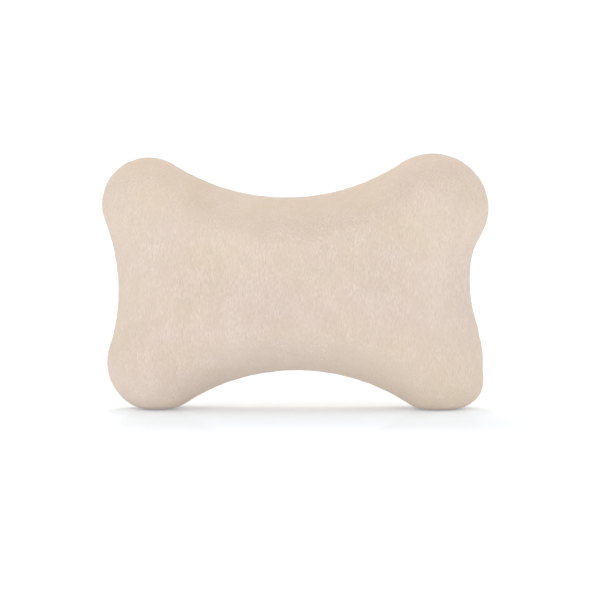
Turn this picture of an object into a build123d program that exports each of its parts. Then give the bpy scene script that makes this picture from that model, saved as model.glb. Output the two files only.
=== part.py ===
from build123d import *
import os
from math import asin, cos, degrees, hypot, sin, sqrt

# Bone-shaped neck pillow: a foam core in a thin liner, inside a velour cover that
# zips open across the back, with an elastic strap for a headrest.
# Millimetres. X runs across, Y from the front to the back, Z up.
# The pillow stands on its two lower lobes, and the origin is the middle of its
# bounding box at the floor.

# ---- driving dimensions -----------------------------------------------------------

# Lobes of the outline as seen from the front, clockwise: centre X, centre Z, radius.
UPPER_LEFT = (-109.5, 153.0, 35.0)
UPPER_RIGHT = (102.5, 149.0, 42.0)
LOWER_RIGHT = (107.5, 31.5, 36.0)
LOWER_LEFT = (-103.5, 35.0, 37.5)
LOBES = (UPPER_LEFT, UPPER_RIGHT, LOWER_RIGHT, LOWER_LEFT)
# Radii of the hollow sides between one lobe and the next: top, right, bottom, left.
WAIST_RADII = (156.0, 108.0, 156.0, 140.0)

HALF_THICKNESS = 46.0      # from the middle plane to the crown of either face
CROWN_RADIUS = 600.0       # bend of both faces about an upright axis
RIM_RADIUS = 31.0          # rounding between a face and the side

# Depths below the outer surface, from the outside in.
COVER_INNER = 2.0
TAPE_OUTER = 2.1
TAPE_INNER = 2.7
LINER_OUTER = 4.2
LINER_INNER = 5.0
FOAM_OUTER = 5.3

ZIP_Z = 72.0               # height of the zip's centre line
ZIP_HALF_LENGTH = 100.0    # of the coil chain
SLIT_HALF_LENGTH = 103.0   # of the opening in the back of the cover
SLIT_HALF_WIDTH = 6.2
TAPE_EDGE = 0.6            # from the zip's centre line to each tape's woven edge
TAPE_WIDTH = 10.4
TAPE_HALF_LENGTH = 104.0
COIL_WIDTH = 2.5
COIL_OUTER = 0.3           # depth of the coil's top below the cover's surface
STOP_GAP = 0.3             # between the end of the chain and a stop
STOP_LENGTH = 2.0
STOP_OVERHANG = 0.5        # of a stop past the coils

SLIDER_LENGTH = 12.0
SLIDER_HALF_WIDTH = 5.25
SLIDER_CORNER = 1.5
SLIDER_X = 92.0            # the slider's place when the zip is closed
PLATE = 1.1                # thickness of the slider's outer plate
INNER_PLATE_OUTER = 3.0    # depths of the slider's inner plate
INNER_PLATE_INNER = 3.9
FLANGE = 0.9               # thickness of the slider's side flanges
FLANGE_DEPTH = 1.85
FLANGE_SETBACK = 2.0       # of the flanges from the ends of the plates
WEB_HALF_WIDTH = 0.4       # the divider that joins the two plates
WEB_LENGTH = 4.0

BAIL_LENGTH = 7.0          # the loop on the slider that carries the pull tab
BAIL_HEIGHT = 3.0
BAIL_WALL = 0.9
BAIL_HALF_WIDTH = 0.8
BAIL_CORNER = 1.6
PIVOT_HEIGHT = 1.0         # of the pull tab's crossbar over the outer plate
CROSSBAR_RADIUS = 0.6
PULL_LENGTH = 26.0         # from the crossbar to the tip
PULL_HALF_WIDTH = 3.3
PULL_TIP_CORNER = 2.9
PULL_EYE_HALF_WIDTH = 1.3  # of the opening that straddles the bail
PULL_EYE_LENGTH = 4.6
PULL_ARM = 1.4             # width of each arm beside the eye
PULL_TAPER = 3.0           # length over which the arms widen into the tab
PULL_THICKNESS = 1.2
GRIP_MARGIN = 3.0          # around the grip hollow, at its ends
GRIP_WIDTH = 3.3
GRIP_DEPTH = 0.3

STRAP_Z = 100.0            # height of the strap's centre line
STRAP_WIDTH = 25.0
STRAP_THICKNESS = 1.5
STRAP_GAP = 11.0           # slack between the strap and the back, at the middle
STRAP_LIFT_X = 84.0        # where the bow of the strap would meet the back
STRAP_LIFT_RADIUS = 50.0   # of the bend where the strap leaves the back
STRAP_END_X = 104.0
HEM_LENGTH = 14.0          # the end folded under before it is sewn down
HEM_OUTER = 0.1            # heights over the back's surface
STRAP_SEAT = 1.7

TACK_X = (92.5, 101.5)     # bars of thread across each end of the strap
TACK_BAR = 2.0
TACK_HEIGHT = 0.5
TACK_HALF_WIDTH = 11.5

STITCH_ROW = 9.0           # from the zip's centre line to a row of stitches
STITCH_LENGTH = 2.7
STITCH_PITCH = 3.3
STITCH_WIDTH = 0.6
STITCH_HEIGHT = 0.35
STITCH_COUNT = 62

LABEL_X = (-73.0, -47.0)   # blank care label, hanging from the slit's lower edge
LABEL_HEIGHT = 18.0
LABEL_THICKNESS = 0.4
LABEL_LIFT = 0.05          # over the back's surface

# ---- worked out from the dimensions -----------------------------------------------

STRAP_TOP = HALF_THICKNESS + STRAP_GAP + STRAP_THICKNESS
MIDDLE_Y = (HALF_THICKNESS - STRAP_TOP) / 2      # puts the whole depth about Y = 0
BACK_AXIS = (0.0, MIDDLE_Y + HALF_THICKNESS - CROWN_RADIUS)
SLIDER_ANGLE = asin(SLIDER_X / CROWN_RADIUS)
STRAP_LOW = STRAP_Z - STRAP_WIDTH / 2
STRAP_HIGH = STRAP_Z + STRAP_WIDTH / 2
BIG = 220.0                # reaches past the pillow from anywhere inside it


# ---- helpers ----------------------------------------------------------------------

def toward(centre, target, radius):
    """The point on a circle that faces a target, all in one plane."""
    dx = target[0] - centre[0]
    dy = target[1] - centre[1]
    span = hypot(dx, dy)
    return (centre[0] + dx / span * radius, centre[1] + dy / span * radius)


def halfway(a, b):
    return ((a[0] + b[0]) / 2, (a[1] + b[1]) / 2)


def touching_centre(first, second, radius):
    """Centre of a circle that touches two others from outside, on their left side."""
    first_reach = radius + first[2]
    second_reach = radius + second[2]
    dx = second[0] - first[0]
    dy = second[1] - first[1]
    span = hypot(dx, dy)
    along = (first_reach**2 - second_reach**2 + span**2) / (2 * span)
    out = sqrt(first_reach**2 - along**2)
    return (first[0] + (along * dx - out * dy) / span, first[1] + (along * dy + out * dx) / span)


def block(x, y, z):
    """A box from its low and high ends along each axis."""
    size = Box(x[1] - x[0], y[1] - y[0], z[1] - z[0])
    return Pos((x[0] + x[1]) / 2, (y[0] + y[1]) / 2, (z[0] + z[1]) / 2) * size


def save(node, *solids):
    shape = solids[0] if len(solids) == 1 else Compound(children=list(solids))
    export_step(shape, f"parts/{node}.step")


# ---- the stuffed shape ------------------------------------------------------------

def outline(inset):
    """Four lobes joined by four hollow arcs, moved inwards by the inset."""
    hollows = []
    for i in range(4):
        hollows.append(touching_centre(LOBES[i], LOBES[(i + 1) % 4], WAIST_RADII[i]))
    middle = (0.0, (UPPER_LEFT[1] + LOWER_LEFT[1]) / 2)
    arcs = []
    for i in range(4):
        lobe = LOBES[i][:2]
        radius = LOBES[i][2] - inset
        start = toward(lobe, hollows[i - 1], radius)
        end = toward(lobe, hollows[i], radius)
        arcs.append(ThreePointArc(start, toward(lobe, middle, -radius), end))
        next_lobe = LOBES[(i + 1) % 4]
        landing = toward(next_lobe[:2], hollows[i], next_lobe[2] - inset)
        floor = toward(hollows[i], halfway(end, landing), WAIST_RADII[i] + inset)
        arcs.append(ThreePointArc(end, floor, landing))
    return Plane.XZ * Face(Wire(arcs))


def lens(inset):
    """The upright slab between the two crowned faces, moved inwards by the inset."""
    radius = CROWN_RADIUS - inset
    crown = HALF_THICKNESS - inset
    side = BIG * 0.75
    edge = crown - radius + sqrt(radius**2 - side**2)
    plan = [
        Line((-side, -edge), (-side, edge)),
        ThreePointArc((-side, edge), (0, crown), (side, edge)),
        Line((side, edge), (side, -edge)),
        ThreePointArc((side, -edge), (0, -crown), (-side, -edge)),
    ]
    return Pos(0, MIDDLE_Y, 0) * extrude(Face(Wire(plan)), amount=BIG, both=True)


def stuffed_body(inset):
    """The whole pillow, this far below its outer surface, with flat feet."""
    blank = extrude(outline(inset), amount=BIG, both=True) & lens(inset)
    rim = []
    for edge in blank.edges():
        run = edge @ 1 - edge @ 0
        if hypot(run.X, run.Z) > 1:
            rim.append(edge)
    rounded = fillet(rim, RIM_RADIUS - inset)
    return rounded - block((-BIG, BIG), (-BIG, BIG), (-BIG, inset))


def front_half(shell):
    return shell & block((-BIG, BIG), (-BIG, MIDDLE_Y), (-BIG, BIG))


def back_half(shell):
    return shell & block((-BIG, BIG), (MIDDLE_Y, BIG), (-BIG, BIG))


def make_foam():
    save("foam_core", stuffed_body(FOAM_OUTER))


def make_liner():
    liner = stuffed_body(LINER_OUTER) - stuffed_body(LINER_INNER)
    save("liner_front", front_half(liner))
    save("liner_back", back_half(liner))


def make_cover():
    """A front panel, and a back in two panels that part at the zip."""
    cover = stuffed_body(0) - stuffed_body(COVER_INNER)
    save("cover_front", front_half(cover))
    slit_z = (ZIP_Z - SLIT_HALF_WIDTH, ZIP_Z + SLIT_HALF_WIDTH)
    slit = block((-SLIT_HALF_LENGTH, SLIT_HALF_LENGTH), (MIDDLE_Y, BIG), slit_z)
    back = back_half(cover) - slit
    save("cover_back_upper", back & block((-BIG, BIG), (-BIG, BIG), (ZIP_Z, BIG)))
    save("cover_back_lower", back & block((-BIG, BIG), (-BIG, BIG), (-BIG, ZIP_Z)))


# ---- zip --------------------------------------------------------------------------

def over_back(height, x):
    """A point in plan over the crown of the back, by its height over the surface and X."""
    radius = CROWN_RADIUS + height
    angle = asin(x / CROWN_RADIUS)
    return (radius * sin(angle), BACK_AXIS[1] + radius * cos(angle))


def crown_band(low, high, x, z):
    """A strip bent round the crown of the back, between two heights over its surface."""
    start, end = x
    mid = (start + end) / 2
    plan = [
        ThreePointArc(over_back(high, start), over_back(high, mid), over_back(high, end)),
        Line(over_back(high, end), over_back(low, end)),
        ThreePointArc(over_back(low, end), over_back(low, mid), over_back(low, start)),
        Line(over_back(low, start), over_back(high, start)),
    ]
    return Pos(0, 0, z[0]) * extrude(Face(Wire(plan)), amount=z[1] - z[0], dir=(0, 0, 1))


def beside_zip(side, near, far):
    """Low and high Z of a strip above (side 1) or below (side -1) the zip's centre."""
    return tuple(sorted((ZIP_Z + side * near, ZIP_Z + side * far)))


def make_zip_chain():
    """Two woven tapes, each with its coil on the outside."""
    tape_x = (-TAPE_HALF_LENGTH, TAPE_HALF_LENGTH)
    coil_x = (-ZIP_HALF_LENGTH, ZIP_HALF_LENGTH)
    for name, side in (("upper", 1), ("lower", -1)):
        tape_z = beside_zip(side, TAPE_EDGE, TAPE_EDGE + TAPE_WIDTH)
        coil_z = beside_zip(side, TAPE_EDGE, TAPE_EDGE + COIL_WIDTH)
        save(f"zipper_tape_{name}", crown_band(-TAPE_INNER, -TAPE_OUTER, tape_x, tape_z))
        save(f"zipper_coil_{name}", crown_band(-TAPE_OUTER, -COIL_OUTER, coil_x, coil_z))


def make_zip_stops():
    """A staple across both coils at the open end, a crimp on each at the closed end."""
    near = ZIP_HALF_LENGTH + STOP_GAP
    far = near + STOP_LENGTH
    reach = TAPE_EDGE + COIL_WIDTH + STOP_OVERHANG
    staple_z = (ZIP_Z - reach, ZIP_Z + reach)
    save("zipper_bottom_stop", crown_band(-TAPE_OUTER, 0, (-far, -near), staple_z))
    crimps = [crown_band(-TAPE_OUTER, 0, (near, far), beside_zip(s, TAPE_EDGE, reach)) for s in (1, -1)]
    save("zipper_top_stops", *crimps)


def at_slider(shape):
    """Carry a shape from the middle of the back round to the closed slider's place."""
    turn = Rot(0, 0, -degrees(SLIDER_ANGLE))
    return Pos(0, BACK_AXIS[1], 0) * turn * Pos(0, -BACK_AXIS[1], 0) * shape


def make_slider():
    """Two plates joined by a web between the coils, with side flanges and a bail."""
    half = SLIDER_LENGTH / 2
    plate_z = (ZIP_Z - SLIDER_HALF_WIDTH, ZIP_Z + SLIDER_HALF_WIDTH)
    plates = []
    for low, high in ((0, PLATE), (-INNER_PLATE_INNER, -INNER_PLATE_OUTER)):
        plate = crown_band(low, high, (-half, half), plate_z)
        corners = [edge for edge in plate.edges() if edge.length < high - low + 0.01]
        plates.append(fillet(corners, SLIDER_CORNER))
    body = plates[0] + plates[1]
    flange_x = (FLANGE_SETBACK - half, half - FLANGE_SETBACK)
    for side in (1, -1):
        flange_z = beside_zip(side, SLIDER_HALF_WIDTH - FLANGE, SLIDER_HALF_WIDTH)
        body += crown_band(-FLANGE_DEPTH, 0, flange_x, flange_z)
    web_z = (ZIP_Z - WEB_HALF_WIDTH, ZIP_Z + WEB_HALF_WIDTH)
    body += crown_band(-INNER_PLATE_OUTER, 0, (half - WEB_LENGTH, half), web_z)

    plate_y = over_back(PLATE, 0)[1]
    bail_z = (ZIP_Z - BAIL_HALF_WIDTH, ZIP_Z + BAIL_HALF_WIDTH)
    half = BAIL_LENGTH / 2
    bail = block((-half, half), (plate_y - PLATE / 2, plate_y + BAIL_HEIGHT), bail_z)
    bail = fillet(bail.edges().filter_by(Axis.Z).sort_by(Axis.Y)[-2:], BAIL_CORNER)
    eye_x = (BAIL_WALL - half, half - BAIL_WALL)
    bail -= block(eye_x, (plate_y, plate_y + BAIL_HEIGHT - BAIL_WALL), bail_z)
    save("zipper_slider", at_slider(body + bail))


def make_pull_tab():
    """A tab whose eye straddles the bail, with a crossbar that turns under it."""
    arm = PULL_EYE_HALF_WIDTH + PULL_ARM
    shoulder = -PULL_EYE_LENGTH - PULL_TAPER
    plan = Polyline(
        (0, arm),
        (-PULL_EYE_LENGTH, arm),
        (shoulder, PULL_HALF_WIDTH),
        (-PULL_LENGTH, PULL_HALF_WIDTH),
        (-PULL_LENGTH, -PULL_HALF_WIDTH),
        (shoulder, -PULL_HALF_WIDTH),
        (-PULL_EYE_LENGTH, -arm),
        (0, -arm),
        close=True,
    )
    tab = extrude(make_face(plan), amount=PULL_THICKNESS / 2, both=True)
    tab = fillet(tab.edges().filter_by(Axis.Z).sort_by(Axis.X)[:2], PULL_TIP_CORNER)
    across = (-PULL_EYE_HALF_WIDTH, PULL_EYE_HALF_WIDTH)
    tab -= block((-PULL_EYE_LENGTH, PULL_EYE_LENGTH), across, (-PULL_THICKNESS, PULL_THICKNESS))
    grip_ends = (-PULL_LENGTH + GRIP_MARGIN, shoulder)
    grip = SlotOverall(grip_ends[1] - grip_ends[0], GRIP_WIDTH)
    grip_place = Pos(sum(grip_ends) / 2, 0, PULL_THICKNESS / 2 - GRIP_DEPTH)
    tab -= grip_place * extrude(grip, amount=GRIP_DEPTH, dir=(0, 0, 1))
    tab += Rot(90, 0, 0) * Cylinder(CROSSBAR_RADIUS, 2 * arm)
    pivot_y = over_back(PLATE + PIVOT_HEIGHT, 0)[1]
    face_outwards = Rot(-90, 0, 0)
    save("zipper_pull", at_slider(Pos(0, pivot_y, ZIP_Z) * face_outwards * tab))


def make_zip_stitching():
    """A row of stitches along each side of the slit, lifted where they cross the label."""
    for name, side in (("upper", 1), ("lower", -1)):
        stitches = []
        z = beside_zip(side, STITCH_ROW - STITCH_WIDTH / 2, STITCH_ROW + STITCH_WIDTH / 2)
        for i in range(STITCH_COUNT):
            start = (i - STITCH_COUNT / 2) * STITCH_PITCH
            end = start + STITCH_LENGTH
            on_label = side < 0 and start < LABEL_X[1] and end > LABEL_X[0]
            base = LABEL_LIFT + LABEL_THICKNESS if on_label else 0.0
            stitches.append(crown_band(base, base + STITCH_HEIGHT, (start, end), z))
        save(f"zip_stitching_{name}", *stitches)


# ---- strap and label --------------------------------------------------------------

def strap_face(offset):
    """Plan of one face of the strap, this far outside its inner face, and its right end."""
    seat = CROWN_RADIUS + STRAP_SEAT
    crown = (0.0, MIDDLE_Y + HALF_THICKNESS + STRAP_GAP)
    meet = over_back(STRAP_SEAT, STRAP_LIFT_X)
    fall = crown[1] - meet[1]
    bow = (meet[0]**2 + fall**2) / (2 * fall)
    bow_centre = (0.0, crown[1] - bow)
    lift = touching_centre((*bow_centre, bow), (*BACK_AXIS, seat), STRAP_LIFT_RADIUS)
    join = toward(bow_centre, lift, bow + offset)
    leave = toward(BACK_AXIS, lift, seat + offset)
    bend = toward(lift, halfway(join, leave), STRAP_LIFT_RADIUS - offset)
    end = over_back(STRAP_SEAT + offset, STRAP_END_X)
    lie = toward(BACK_AXIS, halfway(leave, end), seat + offset)
    right = ((join, bend, leave), (leave, lie, end))
    arcs = [ThreePointArc(*points) for points in right]
    arcs += [ThreePointArc(*[(-x, y) for x, y in points]) for points in right]
    arcs.append(ThreePointArc((-join[0], join[1]), (0, crown[1] + offset), join))
    return arcs, end


def make_strap():
    """An elastic band bowed away from the back, its ends folded under and sewn down."""
    inner, inner_end = strap_face(0)
    outer, outer_end = strap_face(STRAP_THICKNESS)
    ends = [Line((s * inner_end[0], inner_end[1]), (s * outer_end[0], outer_end[1])) for s in (1, -1)]
    plan = Face(Wire(inner + outer + ends))
    strap = Pos(0, 0, STRAP_LOW) * extrude(plan, amount=STRAP_WIDTH, dir=(0, 0, 1))
    for side in (1, -1):
        hem_x = tuple(sorted((side * (STRAP_END_X - HEM_LENGTH), side * STRAP_END_X)))
        strap += crown_band(HEM_OUTER, STRAP_SEAT, hem_x, (STRAP_LOW, STRAP_HIGH))
    save("elastic_strap", strap)
    print("strap length", round(sum(arc.length for arc in inner), 1))


def make_strap_tacks():
    base = STRAP_SEAT + STRAP_THICKNESS
    z = (STRAP_Z - TACK_HALF_WIDTH, STRAP_Z + TACK_HALF_WIDTH)
    for name, side in (("left", -1), ("right", 1)):
        bars = []
        for centre in TACK_X:
            x = (side * centre - TACK_BAR / 2, side * centre + TACK_BAR / 2)
            bars.append(crown_band(base, base + TACK_HEIGHT, x, z))
        save(f"strap_tack_{name}", *bars)


def make_label():
    top = ZIP_Z - SLIT_HALF_WIDTH
    low = LABEL_LIFT
    save("care_label", crown_band(low, low + LABEL_THICKNESS, LABEL_X, (top - LABEL_HEIGHT, top)))


os.makedirs("parts", exist_ok=True)
make_foam()
make_liner()
make_cover()
make_zip_chain()
make_zip_stops()
make_slider()
make_pull_tab()
make_zip_stitching()
make_strap()
make_strap_tacks()
make_label()
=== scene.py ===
import math

import bmesh
import bpy
import numpy as np
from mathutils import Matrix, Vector
from mathutils.kdtree import KDTree


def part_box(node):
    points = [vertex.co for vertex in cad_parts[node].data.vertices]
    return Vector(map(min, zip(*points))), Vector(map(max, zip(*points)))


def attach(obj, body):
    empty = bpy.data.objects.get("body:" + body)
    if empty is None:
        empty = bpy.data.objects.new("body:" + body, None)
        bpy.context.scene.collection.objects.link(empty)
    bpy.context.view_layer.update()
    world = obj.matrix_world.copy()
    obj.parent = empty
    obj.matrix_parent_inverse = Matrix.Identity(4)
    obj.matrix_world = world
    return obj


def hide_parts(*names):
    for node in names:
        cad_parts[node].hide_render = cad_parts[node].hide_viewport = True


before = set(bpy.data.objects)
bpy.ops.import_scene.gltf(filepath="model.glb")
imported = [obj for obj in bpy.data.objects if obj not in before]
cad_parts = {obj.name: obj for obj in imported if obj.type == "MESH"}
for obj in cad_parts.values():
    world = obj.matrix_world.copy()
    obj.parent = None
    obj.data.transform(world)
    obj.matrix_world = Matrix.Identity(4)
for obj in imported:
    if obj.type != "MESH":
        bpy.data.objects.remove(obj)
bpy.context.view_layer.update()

# A bone-shaped neck pillow. Metres; X across, Y from the front to the back, Z up.
# The stuffed shape is a height field over the outline, so the cover, liner and foam
# are one shape at different depths, and every panel is a closed shell.

MM = 0.001

# ---- places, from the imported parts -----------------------

FRONT_LOW, FRONT_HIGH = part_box("cover_front")
TAPE_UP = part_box("zipper_tape_upper")
TAPE_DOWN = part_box("zipper_tape_lower")
MIDDLE_Y = FRONT_HIGH.y
HALF_THICKNESS = FRONT_HIGH.y - FRONT_LOW.y
CROWN_RADIUS = 600 * MM
AXIS_Y = MIDDLE_Y + HALF_THICKNESS - CROWN_RADIUS
ZIP_Z = (TAPE_UP[0].z + TAPE_DOWN[1].z) / 2

# ---- the outline -----------------------------------------

# Lobes (centre X, centre Z, radius) clockwise from the front's upper left.
LOBES = (
    (-109.5 * MM, 153.0 * MM, 35.0 * MM),
    (102.5 * MM, 149.0 * MM, 42.0 * MM),
    (107.2 * MM, 31.6 * MM, 35.8 * MM),
    (-103.5 * MM, 35.0 * MM, 37.5 * MM),
)
HOLLOW_RADII = (156 * MM, 104 * MM, 153 * MM, 140 * MM)   # top, right, bottom, left
# Soft bends of the right side: the height, reach and outward shift of each.
RIGHT_BENDS = (
    (116 * MM, 20 * MM, -2.5 * MM),
    (62 * MM, 16 * MM, 1.8 * MM),
    (33 * MM, 13 * MM, -2.7 * MM),
    (9 * MM, 10 * MM, 2.2 * MM),
)
BENDS_FROM, BENDS_WHOLE = 104 * MM, 132 * MM     # X between which the bends fade in
RIM = 35 * MM              # how far in from the outline the faces still curve
RIM_POWER = 2.15           # of the rim's section: 2 is an ellipse, more is squarer
RINGS_DEPTH = 14 * MM      # how far in the mesh's rings follow the outline
RELAX_STEPS = 160

# The slit in the back panel, and the rows of the mesh beside it.
SLIT_X = 103 * MM
SLIT_Z = 6.2 * MM
ZIP_ROWS = [z * MM for z in (0, 0.8, 2.2, 4.2, 6.2, 6.5, 7.0, 7.6, 8.3, 9.0, 9.7, 10.6, 11.8, 13.4)]
ZIP_LEVELS = np.array(sorted({side * z for side in (1, -1) for z in ZIP_ROWS}))
SLIT_ROW = 4               # which of those rows is the edge of the slit


# ---- thicknesses, seams and the small parts --------------

COVER_THICK = 1.5 * MM
LINER_DEPTH, LINER_THICK = 4.2 * MM, 0.8 * MM
FOAM_DEPTH = 5.3 * MM
FLOOR_EASE = 1.1 * MM      # rounding where the feet meet the floor
FLOOR_PRESS = 4.2 * MM     # how far the lower lobes would reach below the floor
FLOOR_REACH = 25 * MM      # height above which the floor no longer presses

SEAM_GAP = 0.05 * MM       # half of the slit between two panels that are sewn together
SEAM_GROOVE = 1.1 * MM
SEAM_WIDTH = 1.5 * MM
SEAM_PUCKER = 0.3 * MM
PUCKER_PLACE, PUCKER_WIDTH = 3 * MM, 3.2 * MM    # beside the seam
ALLOWANCE = 3.8 * MM       # cloth turned inwards at the side seam

STITCH_LEVEL = 9.0 * MM    # from the zip's middle to a row of stitches
STITCH_GROOVE, STITCH_GROOVE_WIDTH = 0.4 * MM, 1.0 * MM
EDGE_PUCKER = 0.22 * MM
EDGE_RADIUS = 0.7 * MM     # of the folded cloth along the slit
STITCH_COUNT = 62
STITCH_PITCH = 3.3 * MM
STITCH_LENGTH = 2.7 * MM
STITCH_THREAD = 0.28 * MM
STITCH_DIP = 0.75 * MM     # of a stitch's ends into the cloth
STITCH_LEAN = 0.12 * MM
STITCH_ON_LABEL = 0.45 * MM

TAPE_X = 104 * MM
TAPE_DEPTH = 2.4 * MM
TAPE_HALF = 0.26 * MM
TAPE_RIBS = 12
TAPE_RIB = 0.07 * MM

COIL_X = 100 * MM
COIL_PITCH = 1.35 * MM
COIL_STEPS = 14
COIL_WIRE = 0.3 * MM
COIL_RISE = 0.6 * MM
COIL_DEPTH = 1.2 * MM
COIL_OVERLAP = 0.4 * MM    # past the middle, where the loops lock

STRAP_LOW, STRAP_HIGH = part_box("elastic_strap")
STRAP_Z = (STRAP_LOW.z + STRAP_HIGH.z) / 2
STRAP_WIDTH = STRAP_HIGH.z - STRAP_LOW.z
STRAP_THICK = 1.5 * MM
STRAP_SEAT = 1.7 * MM      # of the strap's inner face over the back, above its hem
STRAP_LIFT_X = 84 * MM
STRAP_LIFT_RADIUS = 50 * MM
STRAP_END = 104 * MM
STRAP_STEP = 1.4 * MM
STRAP_RIBS = 11
STRAP_RIB = 0.13 * MM
STRAP_WAVE = 0.1 * MM
STRAP_NARROWING = 0.02     # of the stretched strap at its middle
HEM_OUTER = 0.1 * MM
HEM_LENGTH = 14 * MM

TACK_X = (92.5 * MM, 101.5 * MM)
TACK_BAR = 2.0 * MM
TACK_PITCH = 0.5 * MM
TACK_THREAD = 0.19 * MM
END_TACK_X = SLIT_X + 1.7 * MM
END_TACK_HALF = 8.0 * MM   # half the length of the tack across each end of the slit
TACK_BASE = STRAP_SEAT + STRAP_THICK - 0.13 * MM

LABEL_LOW, LABEL_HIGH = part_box("care_label")
LABEL_MIDDLE = (LABEL_LOW.x + LABEL_HIGH.x) / 2
LABEL_THICK = 0.25 * MM

# ---- cloth simulation ------------------------------------

VOXEL = 5 * MM
CLOTH_SETTINGS = {
    "quality": 6, "mass": 0.25, "tension_stiffness": 12, "compression_stiffness": 12,
    "bending_stiffness": 0.6, "use_pressure": True, "uniform_pressure_force": 4,
}
CLOTH_FRAMES = 20
CLOTH_CAP = 6 * MM
CLOTH_NEIGHBOURS = 18
CLOTH_SHARE = 0.45         # of the simulated shift that is used
HELD_MARGIN = 18 * MM
STRAP_HUG = 58 * MM        # from here outwards the strap lies on the cover or close to it
# Where the back holds still under the zip, the strap's ends and the label: X and Z ranges.
HELD = (
    (-TAPE_X, TAPE_X, ZIP_Z - 14 * MM, ZIP_Z + 14 * MM),
    (-STRAP_END, -STRAP_HUG, STRAP_LOW.z, STRAP_HIGH.z),
    (STRAP_HUG, STRAP_END, STRAP_LOW.z, STRAP_HIGH.z),
    (LABEL_LOW.x, LABEL_HIGH.x, LABEL_LOW.z, LABEL_HIGH.z),
)


def touching_centre(first, second, radius):
    """Centre of a circle that touches two others from outside, on their left side."""
    a = np.array(first[:2])
    run = np.array(second[:2]) - a
    span = np.hypot(*run)
    along = ((radius + first[2])**2 - (radius + second[2])**2 + span**2) / (2 * span)
    out = math.sqrt((radius + first[2])**2 - along**2)
    return a + (along * run + out * np.array([-run[1], run[0]])) / span


LOBE_CENTRES = [np.array(lobe[:2]) for lobe in LOBES]
HOLLOWS = [touching_centre(LOBES[i], LOBES[(i + 1) % 4], HOLLOW_RADII[i]) for i in range(4)]


def turn_of(vector):
    return math.atan2(vector[1], vector[0])


def rays(angles):
    """Unit vectors at these angles."""
    return np.column_stack([np.cos(angles), np.sin(angles)])


def run_along(points):
    """How far each point lies along the line through them all."""
    steps = np.linalg.norm(np.diff(points, axis=0), axis=1)
    return np.concatenate([[0], np.cumsum(steps)])


def wrapped(start, end, sign):
    """end, moved by whole turns so that it lies just past start in the sign's direction."""
    while sign * (end - start) < 0:
        end += sign * 2 * math.pi
    return end


def lobe_arc(i):
    """Start, apex and end angles of a lobe's arc, going clockwise round the outline."""
    start = turn_of(HOLLOWS[i - 1] - LOBE_CENTRES[i])
    end = wrapped(start, turn_of(HOLLOWS[i] - LOBE_CENTRES[i]), -1)
    return start, (start + end) / 2, end


def hollow_arc(i, count, zip_rows):
    """Angles along a hollow. With zip_rows, a side's angles put mesh rows beside the zip."""
    start = turn_of(LOBE_CENTRES[i] - HOLLOWS[i])
    end = wrapped(start, turn_of(LOBE_CENTRES[(i + 1) % 4] - HOLLOWS[i]), 1)
    if not zip_rows or i % 2 == 0:
        return np.linspace(start, end, count + 1)[:-1]
    rise = (ZIP_Z + ZIP_LEVELS - HOLLOWS[i][1]) / (HOLLOW_RADII[i] + RINGS_DEPTH)
    angles = np.arcsin(rise)
    if i == 1:                       # the right side is followed downwards
        angles = (math.pi - angles)[::-1]
        low_count, high_count = zip_rows[1], zip_rows[0]
    else:
        low_count, high_count = zip_rows
    angles = np.array([wrapped(start, a, 1) for a in angles])
    before = np.linspace(start, angles[0], low_count + 1)[:-1]
    after = np.linspace(angles[-1], end, high_count + 1)[:-1]
    return np.concatenate([before, angles[:-1], after])


class Outline:
    """Points round the pillow that can be moved inwards along its normals."""

    def __init__(self, half_lobe, wide, tall, zip_rows=None):
        points = []      # centre X and Z, angle, radius, and how the radius changes inwards

        def add(place, size, angles, sign):
            points.extend((*place, angle, size, sign) for angle in angles)

        for i in range(4):
            following = (i + 1) % 4
            _, apex, end = lobe_arc(i)
            add(LOBE_CENTRES[i], LOBES[i][2], np.linspace(apex, end, half_lobe + 1)[:-1], -1)
            count = wide if i % 2 == 0 else tall
            add(HOLLOWS[i], HOLLOW_RADII[i], hollow_arc(i, count, zip_rows), 1)
            start, apex, _ = lobe_arc(following)
            arc = np.linspace(start, apex, half_lobe + 1)[:-1]
            add(LOBE_CENTRES[following], LOBES[following][2], arc, -1)
            if i == 0:
                self.columns = len(points)
            if i == 1:
                self.rows = len(points) - self.columns
        self.count = len(points)
        x, z, angle, self.radius, self.inwards = np.array(points).T
        self.centre, self.ray = np.column_stack([x, z]), rays(angle)

    def at(self, inset):
        """Points (X, Z) this far inside the outline."""
        return self.centre + self.ray * (self.radius + self.inwards * inset)[:, None]

    def normal(self):
        """Unit vectors (X, Z) that point out of the pillow."""
        return self.ray * -self.inwards[:, None]


def depth_inside(points):
    """How far inside the outline each point (X, Z) lies, and the way out from it."""
    depth = np.full(len(points), np.inf)
    way_out = np.zeros_like(points)
    for i in range(4):
        run = HOLLOWS[i] - points
        span = np.linalg.norm(run, axis=1)
        nearer = span - HOLLOW_RADII[i] < depth
        depth = np.where(nearer, span - HOLLOW_RADII[i], depth)
        way_out = np.where(nearer[:, None], run / span[:, None], way_out)
    for i in range(4):
        start, apex, end = lobe_arc(i)
        run = points - LOBE_CENTRES[i]
        span = np.maximum(np.linalg.norm(run, axis=1), 1e-9)
        turn = np.arctan2(run[:, 1], run[:, 0])
        off_apex = np.abs((turn - apex + math.pi) % (2 * math.pi) - math.pi)
        in_lobe = off_apex <= (start - end) / 2
        depth = np.where(in_lobe, LOBES[i][2] - span, depth)
        way_out = np.where(in_lobe[:, None], run / span[:, None], way_out)
    return depth, way_out


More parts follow.
